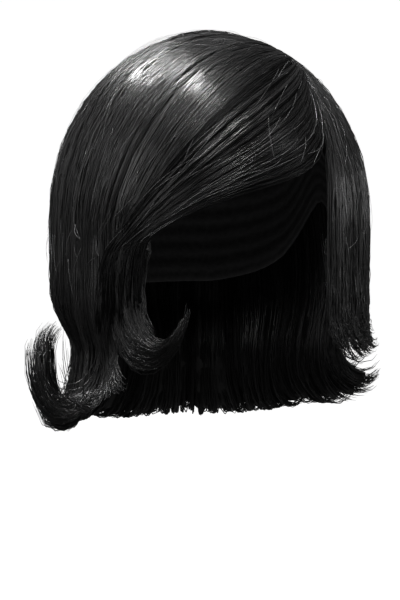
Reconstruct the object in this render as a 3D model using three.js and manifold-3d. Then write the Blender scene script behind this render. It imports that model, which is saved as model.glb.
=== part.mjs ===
// A medium-length black wig: a stretch cap that carries three panels of hair, a swept fringe and a nape layer.
// The hair leaves a parting on the wearer's left, lies over a dome, hangs, and flips out at its ends.
// Millimetres, +Z up. The face looks along -Y and the wearer's left is +X.
// The origin is the point inside the cap where the top of the head bears.
import * as THREE from "three";
import { mergeVertices } from "three/addons/utils/BufferGeometryUtils.js";
import Module from "manifold-3d";

const wasm = await Module();
wasm.setup();
const { degToRad, lerp, smoothstep } = THREE.MathUtils;

// Driving sizes

// Half-width, half-length and height above the widest level of the head that the cap fits: 54 cm of girth.
const HEAD = new THREE.Vector3(76, 95, 100);
const HEAD_CENTRE = new THREE.Vector3(0, 0, -HEAD.z);
const CAP_WALL = 1.5;
const SEAT_GAP = 0.4; // from the roots of the hair to the cap

// Outer dome of the hair: its centre and half-sizes.
const DOME_CENTRE = new THREE.Vector3(-2, 8, -104);
const DOME = new THREE.Vector3(103, 113, 118);

// Plan of the parting, from the front hairline to the crown.
const PARTING_FRONT = new THREE.Vector2(40, -62);
const PARTING_BACK = new THREE.Vector2(34, 22);
const ROOT_RISE = 0.1; // share of the dome path in which the hair rises from the cap to the dome

const WAIST_STARTS = 0.5; // share of the hang at which the hair starts to be drawn in

// Section of a lock: its thickness at the root, on the dome, where it starts to curl and at its tip.
const ROOT_THICKNESS = 3;
const DOME_THICKNESS = 6.5;
const CURL_THICKNESS = 6;
const TIP_THICKNESS = 1.6;
const GROOVE = 2.6; // how deep the line between two locks lies below their crests
const TIP_NARROWING = 0.5; // share of its width that a lock loses by its tip
const HANGING_SPLIT = 1.7; // stage at which hanging locks part from each other
const FRINGE_SPLIT = 0.66; // the same for the fringe
const WIDTH_UNEVENNESS = 0.14; // how uneven the locks are: in width, and in the length of their ends
const LENGTH_UNEVENNESS = 0.2;
const CREST_COLUMNS = 4; // faces across the outer side of a lock
const INNER_COLUMNS = 2; // faces across its inner side

// The nape layer lies under the panels: its distance from their inner side and its thickness.
const NAPE_GAP = 3;
const NAPE_THICKNESS = 4;
const NAPE_ROOT = 0.8; // stage of the strand at which it leaves the cap
const NAPE_SETTLED = 1.3; // stage at which it has come out to the panels

// Tables: a bearing is counted in degrees from the front round by the wearer's right, a polar angle from straight up.

const table = (columns, rows) => rows.map((row) => Object.fromEntries(columns.map((name, i) => [name, row[i]])));

// Edge of the cap: over the forehead, down the temple, round the ear and across the nape.
const CAP_EDGE = table(
  ["bearing", "polar"],
  [
    [0, 57],
    [28, 61],
    [55, 80],
    [74, 99],
    [98, 88],
    [122, 111],
    [152, 120],
    [180, 121],
  ],
);
const CAP_ROWS = 9;
const CAP_COLUMNS = 40;

// A row for each guide strand of the hanging hair. It leaves the parting at a station from its front (0) to its
// back (1) and to one side of it, passes a crest, hangs at its bearing, is drawn in at the waist and curls out
// at its hem, or at that of the nape layer below it. A curl has a radius out, a radius up, a turn and a bearing
// that it points to.
const HANGING = table(
  ["bearing", "station", "side", "crest", "hem", "napeHem", "waist", "out", "up", "turn", "points"],
  [
    [47, 0.32, -1, 45, -168, -168, 0, 20, 20, 195, -27],
    [58, 0.4, -1, 43, -198, -198, 3, 29, 40, 165, -15],
    [70, 0.48, -1, 42, -220, -220, 9, 20, 34, 180, 58],
    [95, 0.66, -1, 40, -233, -233, 15, 16, 36, 200, 92],
    [120, 0.86, -2, 40, -235, -235, 17, 16, 36, 200, 119],
    [150, 1.04, -6, 42, -236, -236, 17, 17, 34, 190, 150],
    [180, 1.09, -4, 44, -235, -236, 16, 18, 32, 180, 180],
    [210, 1.11, 0, 46, -234, -236, 16, 18, 30, 175, 210],
    [240, 1.07, 5.5, 50, -226, -233, 16, 15, 26, 165, 241],
    [265, 0.84, 3, 54, -206, -224, 14, 11, 21, 155, 267],
    [290, 0.48, 1, 60, -192, -214, 12, 9, 17, 140, 285],
    [310, 0.19, 1, 66, -190, -206, 7, 8, 16, 125, 297],
    [333, 0, 1, 74, -190, -200, 4, 8, 16, 120, 305],
  ],
);

// A row for each guide strand of the fringe, from its lower edge up. It leaves the parting at a station, drops
// down the forehead, sweeps across it and ends on the wearer's right temple.
const FRINGE = table(
  ["station", "dropBearing", "dropPolar", "sweepBearing", "sweepPolar", "endBearing", "endPolar"],
  [
    [0, -27, 94, 5, 68, 50, 95],
    [0.15, -5, 63, 28, 65, 53, 92],
    [0.29, 22, 35, 47, 60, 51, 89],
  ],
);
const FRINGE_SIDE = -1;
const FRINGE_THICKNESS = 4.5;
const FRINGE_TUCK = 0.6; // share of its height over the head that its end loses, to lie below the side panel
const FRINGE_END = 0.7; // stage at which it starts to thin and tuck in

// Stages of a strand at which the sections of its locks lie: 0 to 1 on the dome, 1 to 2 hanging, 2 to 3 curling.
const HANGING_STAGES = [0, 0.02, 0.05, 0.1, 0.25, 0.42, 0.6, 0.8, 1, 1.4, 1.7, 2, 2.17, 2.33, 2.5, 2.67, 2.83, 3];
const NAPE_STAGES = [NAPE_ROOT, 0.9, 1, 1.2, 1.45, 1.7, 2, 2.17, 2.33, 2.5, 2.6];
const FRINGE_STAGES = [0, 0.03, 0.08, 0.2, 0.33, 0.44, 0.55, 0.66, 0.77, 0.88, 1];

// Panels: the bearings that each spans, or the stations of the fringe, and its locks.
const PANEL_GAP = 0.4; // degrees between two panels
const ROOT_SQUEEZE = 0.024; // share of its width that a panel gives up at its roots
const PANELS = table(
  ["name", "from", "to", "locks"],
  [
    ["right_hair", 47, 138, 8],
    ["back_hair", 138 + PANEL_GAP, 222, 8],
    ["left_hair", 222 + PANEL_GAP, 333, 9],
  ],
);
const NAPE = { from: 82, to: 290, locks: 13 };
const FRINGE_LOCKS = 6;
const FRINGE_CLEARANCE = 0.4; // from the fringe to the side panels

// Colours and finishes

const HAIR_FINISH = new THREE.MeshStandardMaterial({ color: 0x141414, roughness: 0.35, metalness: 0 });
const CAP_FINISH = new THREE.MeshStandardMaterial({ color: 0x0e0e0e, roughness: 0.9, metalness: 0 });

// Interpolation of a table by one of its columns, smooth in all the others.

function rowAt(rows, column, value) {
  const last = rows.length - 2;
  const found = rows.findIndex((row) => row[column] > value) - 1;
  const i = found < -1 ? last : Math.min(Math.max(found, 0), last);
  const at = (k) => rows[Math.min(Math.max(k, 0), rows.length - 1)];
  const span = at(i + 1)[column] - at(i)[column];
  const t = (value - at(i)[column]) / span;
  const slope = (k, name) => (span * (at(k + 1)[name] - at(k - 1)[name])) / (at(k + 1)[column] - at(k - 1)[column]);
  const blend = (name) => {
    const a = at(i)[name];
    const b = at(i + 1)[name];
    const rise = slope(i, name);
    const fall = slope(i + 1, name);
    return a + t * (rise + t * (3 * (b - a) - 2 * rise - fall + t * (2 * (a - b) + rise + fall)));
  };
  return Object.fromEntries(Object.keys(rows[0]).map((name) => [name, name === column ? value : blend(name)]));
}

// Directions and places on the head and on the dome

function direction(bearing, polar) {
  const b = degToRad(bearing);
  const p = degToRad(polar);
  return new THREE.Vector3(-Math.sin(b) * Math.sin(p), -Math.cos(b) * Math.sin(p), Math.cos(p));
}

const level = (bearing) => direction(bearing, 90);

const smooth = (t) => smoothstep(t, 0, 1);

// How far the hair has risen from the cap to the dome: steep at its roots, then level.
const risen = (stage) => 1 - (1 - Math.min(Math.max(stage / ROOT_RISE, 0), 1)) ** 3;

// The place over the head at a plan position, lifted off it along its normal.
function overHead(x, y, lift) {
  const share = 1 - (x / HEAD.x) ** 2 - (y / HEAD.y) ** 2;
  const place = new THREE.Vector3(x, y, HEAD.z * Math.sqrt(share));
  const normal = place.clone().divide(HEAD).divide(HEAD).normalize();
  return place.add(HEAD_CENTRE).addScaledVector(normal, lift);
}

// Direction on the dome at which a strand leaves the parting.
function rootDirection(station, side) {
  const plan = PARTING_FRONT.clone().lerp(PARTING_BACK, station);
  return overHead(plan.x + side, plan.y, CAP_WALL).sub(DOME_CENTRE).divide(DOME).normalize();
}

// How many times a step is made from a place until it meets the head, grown by a clearance.
function stepsToHead(place, step, clearance) {
  const size = HEAD.clone().addScalar(clearance);
  const from = place.clone().sub(HEAD_CENTRE).divide(size);
  const by = step.clone().divide(size);
  const half = from.dot(by);
  const spare = half ** 2 - by.lengthSq() * (from.lengthSq() - 1);
  return spare < 0 ? Infinity : (-half - Math.sqrt(spare)) / by.lengthSq();
}

// A place on the way between directions over the dome. It rises from the cap to the dome as the hair lifts.
function onDome(directions, t, lift) {
  let points = directions;
  while (points.length > 1) {
    points = points.slice(1).map((next, i) => points[i].clone().lerp(next, t));
  }
  const radius = points[0].clone().normalize().multiply(DOME);
  const place = radius.clone().add(DOME_CENTRE);
  const drop = stepsToHead(place, radius.clone().negate(), CAP_WALL + SEAT_GAP + ROOT_THICKNESS);
  return place.addScaledVector(radius, -drop * (1 - lift));
}

// Strands

function hangingStrand(bearing, stage, hem = "hem") {
  const guide = rowAt(HANGING, "bearing", bearing);
  const outward = level(guide.bearing);
  const curlStart = guide[hem] + guide.up;
  if (stage < 1) {
    const path = [rootDirection(guide.station, guide.side), direction(guide.bearing, guide.crest), outward];
    return onDome(path, stage, risen(stage));
  }
  const place = outward.clone().multiply(DOME).add(DOME_CENTRE);
  const drop = (place.z - curlStart) * Math.min(stage - 1, 1);
  const panelDrop = place.z - guide.hem - guide.up;
  place.addScaledVector(outward, -guide.waist * smoothstep(drop / panelDrop, WAIST_STARTS, 1));
  place.z -= drop;
  if (stage > 2) {
    const turned = degToRad(guide.turn) * (stage - 2);
    place.addScaledVector(level(guide.points), guide.out * (1 - Math.cos(turned)));
    place.z -= guide.up * Math.sin(turned);
  }
  return place;
}

function fringeStrand(station, stage) {
  const guide = rowAt(FRINGE, "station", station);
  const lift = risen(stage) - FRINGE_TUCK * smoothstep(stage, FRINGE_END, 0.97);
  const path = [
    rootDirection(guide.station, FRINGE_SIDE),
    direction(guide.dropBearing, guide.dropPolar),
    direction(guide.sweepBearing, guide.sweepPolar),
    direction(guide.endBearing, guide.endPolar),
  ];
  return onDome(path, stage, lift);
}

// The same strand sunk below the hair's surface by a depth: along the dome's normal, and past the dome along
// the normal of the curtain.
function sunk(strand, acrossStep) {
  const alongStep = 0.01;
  return (across, stage, depth) => {
    const place = strand(across, stage);
    const normal = place.clone().sub(DOME_CENTRE).divide(DOME).divide(DOME);
    if (stage > 1) {
      const sideways = strand(across + acrossStep, stage).sub(strand(across - acrossStep, stage));
      const along = strand(across, stage + alongStep).sub(strand(across, stage - alongStep));
      normal.crossVectors(sideways, along);
    }
    return place.addScaledVector(normal.normalize(), -depth);
  };
}

const hanging = sunk(hangingStrand, 0.5);
const fringe = sunk(fringeStrand, 0.01);
const longer = sunk((bearing, stage) => hangingStrand(bearing, stage, "napeHem"), 0.5);

// The nape layer leaves the cap and comes out to lie just under the panels.
function nape(bearing, stage, depth) {
  const onSurface = longer(bearing, stage, 0);
  const inward = longer(bearing, stage, 1).sub(onSurface);
  const toCap = stepsToHead(onSurface, inward, CAP_WALL + SEAT_GAP + NAPE_THICKNESS);
  const underPanel = hangingThickness(stage) + NAPE_GAP;
  const settled = smoothstep(stage, NAPE_ROOT, NAPE_SETTLED);
  return longer(bearing, stage, (settled < 1 ? lerp(toCap, underPanel, settled) : underPanel) + depth);
}

// Locks

// Bearings or stations between which the locks lie, a little uneven as hair is.
function lockEdges(from, to, locks) {
  return Array.from({ length: locks + 1 }, (_, i) => {
    const inside = i > 0 && i < locks ? WIDTH_UNEVENNESS * Math.sin(2.4 * i) : 0;
    return lerp(from, to, (i + inside) / locks);
  });
}

// A panel of locks side by side, as one closed surface. Up to the stage where they split, two neighbours share
// the line between them; past it each lock closes by itself and narrows to its tip.
function lockPanel({ surface, edges, stages, split, thickness, grow = 0 }) {
  const positions = [];
  const faces = [];
  const ringSize = CREST_COLUMNS + INNER_COLUMNS + 2;
  const lastStage = stages.at(-1);
  const locks = edges.length - 1;

  for (let lock = 0; lock < locks; lock++) {
    const middle = (edges[lock] + edges[lock + 1]) / 2;
    const reach = 1 - LENGTH_UNEVENNESS * Math.sin(1.9 * lock) ** 2;
    const first = positions.length / 3;
    for (const evenStage of stages) {
      const past = Math.max(evenStage - split, 0);
      const stage = Math.min(evenStage, split) + past * reach;
      const narrowing = TIP_NARROWING * (past / (lastStage - split)) ** 1.5;
      const across = (share) => lerp(middle, lerp(edges[lock], edges[lock + 1], share), 1 - narrowing);
      const thick = thickness(evenStage);
      const groove = GROOVE * Math.min(1, thick / DOME_THICKNESS);
      const put = (share, depth) => positions.push(...surface(across(share), stage, depth));
      for (let column = 0; column <= CREST_COLUMNS; column++) {
        const share = column / CREST_COLUMNS;
        put(share, groove * (2 * share - 1) ** 2 - grow);
      }
      for (let column = INNER_COLUMNS; column >= 0; column--) {
        put(column / INNER_COLUMNS, thick + grow);
      }
    }
    const quad = (ring, a, b) => {
      const near = first + ring * ringSize;
      const far = near + ringSize;
      faces.push(near + a, near + b, far + a, near + b, far + b, far + a);
    };
    for (let ring = 0; ring < stages.length - 1; ring++) {
      const parted = stages[ring] >= split;
      for (let corner = 0; corner < ringSize; corner++) {
        const closesAtEnd = corner === CREST_COLUMNS && (parted || lock === locks - 1);
        const closesAtStart = corner === ringSize - 1 && (parted || lock === 0);
        const isSide = corner === CREST_COLUMNS || corner === ringSize - 1;
        if (!isSide || closesAtEnd || closesAtStart) quad(ring, corner, (corner + 1) % ringSize);
      }
    }
    const tip = first + (stages.length - 1) * ringSize;
    for (let corner = 1; corner < ringSize - 1; corner++) {
      faces.push(first, first + corner + 1, first + corner);
      faces.push(tip, tip + corner, tip + corner + 1);
    }
  }
  return closedGeometry(positions, faces);
}

function closedGeometry(positions, faces) {
  const geometry = new THREE.BufferGeometry();
  geometry.setAttribute("position", new THREE.Float32BufferAttribute(positions, 3));
  geometry.setIndex(faces);
  return mergeVertices(geometry, 1e-3);
}

function hangingThickness(stage) {
  const onTheDome = lerp(ROOT_THICKNESS, DOME_THICKNESS, risen(stage));
  const hung = lerp(onTheDome, CURL_THICKNESS, smoothstep(stage, 1, 2));
  return lerp(hung, TIP_THICKNESS, smoothstep(stage, 2, 3));
}

function napeThickness(stage) {
  return lerp(NAPE_THICKNESS, TIP_THICKNESS, smoothstep(stage, 2, NAPE_STAGES.at(-1)));
}

function fringeThickness(stage) {
  const grown = lerp(ROOT_THICKNESS, FRINGE_THICKNESS, risen(stage));
  return lerp(grown, TIP_THICKNESS, smoothstep(stage, FRINGE_END, 1));
}

function hangingPanel({ from, to, locks }, grow = 0) {
  const middle = (from + to) / 2;
  const squeezed = (bearing, stage) => lerp(middle, bearing, 1 - ROOT_SQUEEZE * (1 - smooth(stage)));
  return lockPanel({
    surface: (bearing, stage, depth) => hanging(squeezed(bearing, stage), stage, depth),
    edges: lockEdges(from, to, locks),
    stages: HANGING_STAGES,
    split: HANGING_SPLIT,
    thickness: hangingThickness,
    grow,
  });
}

// Solids for cutting

function solidOf(geometry) {
  return new wasm.Manifold(
    new wasm.Mesh({
      numProp: 3,
      vertProperties: geometry.attributes.position.array,
      triVerts: new Uint32Array(geometry.index.array),
    }),
  );
}

function geometryOf(solid) {
  const mesh = solid.getMesh();
  return closedGeometry(mesh.vertProperties, [...mesh.triVerts]);
}

// Pieces

function capGeometry() {
  const positions = [];
  const faces = [];
  const wrapped = (bearing) => (bearing > 180 ? 360 - bearing : bearing);
  const place = (column, row, lift) => {
    const bearing = (360 * column) / CAP_COLUMNS;
    const edge = rowAt(CAP_EDGE, "bearing", wrapped(bearing)).polar;
    const along = direction(bearing, (edge * row) / CAP_ROWS);
    const normal = along.clone().divide(HEAD).normalize();
    return along.multiply(HEAD).add(HEAD_CENTRE).addScaledVector(normal, lift);
  };
  const walls = [CAP_WALL, 0];
  const indexOf = (column, row, wall) => ((column % CAP_COLUMNS) * (CAP_ROWS + 1) + row) * walls.length + wall;
  for (let column = 0; column < CAP_COLUMNS; column++) {
    for (let row = 0; row <= CAP_ROWS; row++) {
      walls.forEach((lift) => positions.push(...place(column, row, lift)));
    }
  }
  const quad = (a, b, c, d) => faces.push(a, b, c, a, c, d);
  for (let column = 0; column < CAP_COLUMNS; column++) {
    const next = column + 1;
    for (let row = 0; row < CAP_ROWS; row++) {
      quad(indexOf(column, row, 0), indexOf(next, row, 0), indexOf(next, row + 1, 0), indexOf(column, row + 1, 0));
      quad(indexOf(column, row, 1), indexOf(column, row + 1, 1), indexOf(next, row + 1, 1), indexOf(next, row, 1));
    }
    const rim = [indexOf(column, CAP_ROWS, 0), indexOf(next, CAP_ROWS, 0)];
    quad(...rim, indexOf(next, CAP_ROWS, 1), indexOf(column, CAP_ROWS, 1));
  }
  return withoutFlatFaces(closedGeometry(positions, faces));
}

// Drops the faces that collapsed to a line where the rows meet at the crown.
function withoutFlatFaces(geometry) {
  const index = geometry.index.array;
  const kept = [];
  for (let i = 0; i < index.length; i += 3) {
    const [a, b, c] = index.slice(i, i + 3);
    if (a !== b && b !== c && c !== a) kept.push(a, b, c);
  }
  geometry.setIndex(kept);
  return geometry;
}

function napeGeometry() {
  return lockPanel({
    surface: nape,
    edges: lockEdges(NAPE.from, NAPE.to, NAPE.locks),
    stages: NAPE_STAGES,
    split: HANGING_SPLIT,
    thickness: napeThickness,
  });
}

// The fringe, cut clear of the side panels: its end passes under one and its root lies beside the other.
function fringeGeometry(sidePanels) {
  const whole = lockPanel({
    surface: fringe,
    edges: lockEdges(FRINGE[0].station, FRINGE.at(-1).station, FRINGE_LOCKS),
    stages: FRINGE_STAGES,
    split: FRINGE_SPLIT,
    thickness: fringeThickness,
  });
  const clear = sidePanels.reduce((solid, panel) => {
    const wider = { ...panel, from: panel.from - PANEL_GAP, to: panel.to + PANEL_GAP };
    return solid.subtract(solidOf(hangingPanel(wider, FRINGE_CLEARANCE)));
  }, solidOf(whole));
  const largest = clear.decompose().reduce((a, b) => (b.volume() > a.volume() ? b : a));
  return geometryOf(largest);
}

function piece(name, geometry, finish) {
  const mesh = new THREE.Mesh(geometry, finish.clone());
  mesh.name = name;
  return mesh;
}

const wig = new THREE.Group();
wig.add(piece("wig_cap", capGeometry(), CAP_FINISH));
PANELS.forEach((panel) => wig.add(piece(panel.name, hangingPanel(panel), HAIR_FINISH)));
wig.add(piece("nape_hair", napeGeometry(), HAIR_FINISH));
wig.add(piece("fringe", fringeGeometry([PANELS[0], PANELS.at(-1)]), HAIR_FINISH));

export default wig;
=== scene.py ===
import math

import bpy
import numpy as np
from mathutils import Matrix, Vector


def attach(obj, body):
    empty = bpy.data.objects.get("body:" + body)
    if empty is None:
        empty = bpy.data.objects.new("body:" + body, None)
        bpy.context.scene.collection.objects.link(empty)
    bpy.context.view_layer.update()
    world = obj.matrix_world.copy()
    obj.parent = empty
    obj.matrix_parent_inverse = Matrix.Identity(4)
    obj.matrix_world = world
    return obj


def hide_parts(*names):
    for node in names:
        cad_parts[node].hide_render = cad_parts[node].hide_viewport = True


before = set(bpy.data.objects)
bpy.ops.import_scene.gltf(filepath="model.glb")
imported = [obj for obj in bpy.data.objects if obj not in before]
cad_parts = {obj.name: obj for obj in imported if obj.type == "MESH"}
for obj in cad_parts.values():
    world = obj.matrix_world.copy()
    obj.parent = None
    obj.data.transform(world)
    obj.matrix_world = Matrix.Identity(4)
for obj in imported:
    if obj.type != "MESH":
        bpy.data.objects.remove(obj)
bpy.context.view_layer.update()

MM = 0.001


def table(columns, rows):
    """Columns of numbers by their names."""
    return dict(zip(columns.split(), np.array(rows, float).T))


# The hollow of the cap, the outer dome of the hair and the parting.
CAP_HOLLOW = np.array([76.0, 95.0, 100.0])
CAP_CENTRE = np.array([0.0, 0.0, -100.0])
CAP_WALL = 1.5
SEAT_GAP = 0.4
DOME_CENTRE = np.array([-3.2, 8.0, -104.0])
DOME = np.array([101.8, 113.0, 118.0])
PARTING_FRONT = np.array([40.0, -62.0])
PARTING_BACK = np.array([34.0, 22.0])
CAP_EDGE = table(
    "bearing polar",
    [[0, 57], [28, 61], [55, 80], [74, 99], [98, 88], [122, 111], [152, 120], [180, 121]],
)

# Guide strands. Bearings are counted from the front round by the right side, polar angles from straight up.
# A strand leaves the parting at a station and a side, leads off, passes its crest and hangs down to its
# hem. It draws in at its waist, and its curl goes up and out, turns, and points to a bearing. The nape's
# strands have their own hems and curls.
HANGING = table(
    "bearing station side lead_station lead_side crest_bearing crest up nest hem waist out turn points"
    " nape_hem nape_waist nape_out nape_turn nape_points",
    [
        [47, 0.66, 2, 0.3, -8, 26, 62, 38, 0.15, -169, 0, 19, 84, -29, -169, 0, 19, 84, -29],
        [53, 0.71, 2.5, 0.38, -11, 35, 58, 38, 0.2, -181, 1.2, 28, 122, -25, -181, 1.2, 28, 122, -25],
        [58, 0.75, 3, 0.45, -14, 44, 54, 38, 0.35, -198, 3.6, 29, 114, -18, -198, 3.6, 29, 114, -18],
        [64, 0.79, 3.3, 0.53, -17, 53, 51, 24, 0.7, -216, 7.2, 12, 145, 45, -216, 7.2, 12, 145, 45],
        [71, 0.83, 3.6, 0.62, -19.5, 64, 48, 36, 1, -226, 10.8, 19, 190, 96, -226, 10.8, 19, 190, 96],
        [83, 0.88, 3.9, 0.77, -22.5, 80, 44.5, 40, 1, -230, 15, 14.5, 222, 103, -230, 15, 14, 150, 103],
        [95, 0.92, 4, 0.88, -24, 95, 42, 44, 1, -231, 18, 11, 232, 106, -231, 18, 10.5, 150, 106],
        [120, 0.97, 3.5, 1.06, -22, 121, 40, 42, 1, -233, 20.4, 10.5, 232, 121, -233, 20.4, 10, 165, 121],
        [150, 1.0, 2, 1.2, -14, 151, 42, 36, 1, -235, 20.4, 16.5, 205, 150, -235, 20.4, 16, 190, 150],
        [180, 1.01, 0, 1.28, -3, 180, 44, 32, 1, -235, 19.2, 18, 180, 180, -236, 19.2, 18, 190, 182],
        [210, 1.01, -2, 1.25, 8, 209, 46, 30, 1, -233, 16.8, 17, 175, 210, -235, 16.8, 16, 180, 222],
        [240, 0.98, -3.5, 1.12, 16, 239, 50, 26, 1.2, -220, 9.6, 11, 150, 243, -226, 13.2, 13, 145, 260],
        [265, 0.9, -4, 0.92, 19, 265, 54, 20, 1.2, -203, 3.6, 8, 125, 270, -220, 9.6, 13.5, 128, 282],
        [290, 0.73, -3.5, 0.6, 16, 290, 60, 15, 0.9, -187, 0, 4, 108, 287, -203, 6, 5.5, 130, 290],
        [310, 0.5, -2.5, 0.26, 10, 312, 66, 15, 0.7, -185, 0, 5, 108, 300, -190, 4.8, 5.5, 130, 297],
        [333, 0.24, -1, -0.05, 3, 333, 74, 16, 0.5, -183, 1.2, 6.5, 112, 312, -186, 4.8, 8, 130, 305],
    ],
)
# The fringe's strands drop over the front, sweep across it, and their tails turn down over the right side.
FRINGE = table(
    "station root lead_root lead_side drop_bearing drop_polar sweep_bearing sweep_polar"
    " end_bearing end_polar tail_bearing tail_polar",
    [
        [0, 0.18, -0.08, -1, -29, 86, 3, 72, 41, 93, 44.5, 120],
        [0.15, 0.42, 0.12, -3, -12, 62, 21, 70, 52, 96, 56, 121],
        [0.29, 0.64, 0.38, -6, 3.6, 42, 32, 68, 60, 98, 66, 122],
    ],
)

# Stages of a strand: 0 to 1 on the dome, 1 to 2 hanging, 2 to 3 curling. The fringe's tails are 1 to 2.
HANGING_STAGES = np.array(
    [0, 0.02, 0.05, 0.09, 0.14, 0.21, 0.28, 0.36, 0.44, 0.52, 0.61, 0.7, 0.8, 0.9, 1.0]
    + [1.2, 1.4, 1.55, 1.68, 1.8, 1.9, 2.0, 2.12, 2.25]
)
END_STAGES = np.array([1.4, 1.6, 1.76, 1.9, 2.0, 2.1, 2.2, 2.3, 2.4, 2.5, 2.6, 2.7, 2.8, 2.9, 3.0])
NAPE_STAGES = np.array([0.8, 0.88, 0.96, 1.1, 1.3, 1.6, 1.85, 2, 2.14, 2.28, 2.42, 2.56, 2.7, 2.85])
FRINGE_STAGES = np.array(
    [0, 0.03, 0.07, 0.13, 0.2, 0.28, 0.36, 0.44, 0.52, 0.6, 0.68, 0.76, 0.84, 0.92, 1]
    + [1.12, 1.25, 1.4, 1.55, 1.7, 1.85, 2]
)
SHEET_STAGES = np.array([0.02, 0.06, 0.12, 0.25, 0.4, 0.6, 0.8, 1, 1.2, 1.4, 1.6, 1.8, 1.95, 2.1])
NAPE_SHEET_STAGES = np.array(
    [0.82, 0.88, 0.94, 1, 1.1, 1.3, 1.5, 1.7, 1.9, 2.05, 2.2, 2.35, 2.5, 2.6, 2.68]
)
FRINGE_SHEET_STAGES = np.linspace(0.03, 0.84, 14)
TIP_STAGE = 3.0
HANGING_SPLIT = 1.7  # stage past which locks part and end unevenly
FRINGE_SPLIT = 0.66

# How a strand rises from its root, draws in and curls.
ROOT_RISE = 0.14  # stage by which it has risen from the cap to the dome
ROOT_LIFT = 0.88  # share of that rise at which the top strands start
LAYER_DROP = 0.5  # how much lower the deepest ones start
WAIST_STARTS = 0.58  # shares of a panel's drop between which it draws in
WAIST_ENDS = 1.2
CURL_TOP = 18.0  # radius in which a curl closes past half a turn
NEST_OUT = 0.016  # how much tighter a wisp curls for each millimetre that it is shorter
NARROWEST_CURL = 0.5
WIDEST_CURL = 1.1
TAIL_LEAD = 0.2  # how far a strand of the fringe runs on before it turns down
PLAIN_HABIT = dict(hem=0.0, out=1.0, turn=1.0, points=0.0, lifted=0.5)

# Thickness of the hair, and the grooves between its locks.
ROOT_THICKNESS = 3.0
DOME_THICKNESS = 6.5
CURL_THICKNESS = 6.0
TIP_THICKNESS = 1.6
NAPE_THICKNESS = 4.0
NAPE_GAP = 3.0
NAPE_ROOT = 0.8  # stages between which the nape's strands leave the cap and settle below the panels
NAPE_SETTLED = 1.3
NAPE_END = 2.6
FRINGE_SIDE = 2.0  # of the parting on which its roots lie
FRINGE_THICKNESS = 4.5
FRINGE_END = 0.7
FRINGE_COVER = 0.5  # how far its ends stand over the side panel
FRINGE_COVERS = (0.55, 0.9)  # stages between which they rise over it
GROOVE = 2.6
DOME_GROOVE = 0.25  # share of the groove that shows on the smooth crown
FRINGE_GROOVE = 0.3
GROOVE_DEEPENS = (0.4, 1.5)
WIDTH_UNEVENNESS = 0.14
WIDTH_RHYTHM = 2.4  # by which wide and narrow locks take turns

# Steps from which a surface's slopes are taken.
BEARING_STEP = 0.5
STAGE_STEP = 0.01


# The flow of the hair


def smoothstep(x, low, high):
    t = np.clip((x - low) / (high - low), 0, 1)
    return t * t * (3 - 2 * t)


def blend(a, b, share):
    return a + (b - a) * share


def unit(vectors):
    return vectors / np.linalg.norm(vectors, axis=-1, keepdims=True)


def row_at(guides, column, values):
    """The guides' columns at values of one of them, on smooth curves through the rows."""
    keys = guides[column]
    last = len(keys) - 1
    i = np.clip(np.searchsorted(keys, values, side="right") - 1, 0, last - 1)
    before = np.maximum(i - 1, 0)
    after = np.minimum(i + 2, last)
    span = keys[i + 1] - keys[i]
    t = (values - keys[i]) / span
    found = {}
    for name, cells in guides.items():
        a = cells[i]
        b = cells[i + 1]
        rise = span * (b - cells[before]) / (keys[i + 1] - keys[before])
        fall = span * (cells[after] - a) / (keys[after] - keys[i])
        found[name] = a + t * (rise + t * (3 * (b - a) - 2 * rise - fall + t * (2 * (a - b) + rise + fall)))
    found[column] = values
    return found


def direction(bearing, polar):
    b = np.radians(bearing)
    p = np.radians(polar) + 0 * b
    return np.stack([-np.sin(b) * np.sin(p), -np.cos(b) * np.sin(p), np.cos(p)], -1)


def level(bearing):
    return direction(bearing, 90.0)


def risen(stage, lifted=0.0):
    return 1 - (1 - lifted) * (1 - np.clip(stage / ROOT_RISE, 0, 1)) ** 3


def root_direction(station, side):
    """The direction on the dome in which a strand leaves the parting."""
    x = blend(PARTING_FRONT[0], PARTING_BACK[0], station) + side
    y = blend(PARTING_FRONT[1], PARTING_BACK[1], station)
    z = CAP_HOLLOW[2] * np.sqrt(1 - (x / CAP_HOLLOW[0]) ** 2 - (y / CAP_HOLLOW[1]) ** 2)
    place = np.stack([x, y, z], -1)
    place = place + unit(place / CAP_HOLLOW**2) * CAP_WALL + CAP_CENTRE
    return unit((place - DOME_CENTRE) / DOME)


def steps_to_cap(place, step, clearance):
    """How many steps lead from a place to the clearance over the cap's hollow."""
    size = CAP_HOLLOW + clearance
    start = (place - CAP_CENTRE) / size
    by = step / size
    half = (start * by).sum(-1)
    length = (by * by).sum(-1)
    spare = half**2 - length * ((start * start).sum(-1) - 1)
    return (-half - np.sqrt(np.maximum(spare, 0))) / length


def on_dome(directions, t, lift):
    """Places along a curve over the dome that the directions steer, lifted from the cap by a share."""
    points = directions
    while len(points) > 1:
        points = [blend(a, b, t[..., None]) for a, b in zip(points, points[1:])]
    way = unit(points[0])
    # Past the widest level the hair no longer follows the dome but hangs straight down.
    plumb = np.where(way[..., 2] < 0, np.linalg.norm(way[..., :2], axis=-1), 1)
    radius = way / plumb[..., None] * DOME
    place = radius + DOME_CENTRE
    drop = steps_to_cap(place, -radius, CAP_WALL + SEAT_GAP + ROOT_THICKNESS)
    return place - radius * (drop * (1 - lift))[..., None]


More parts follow.
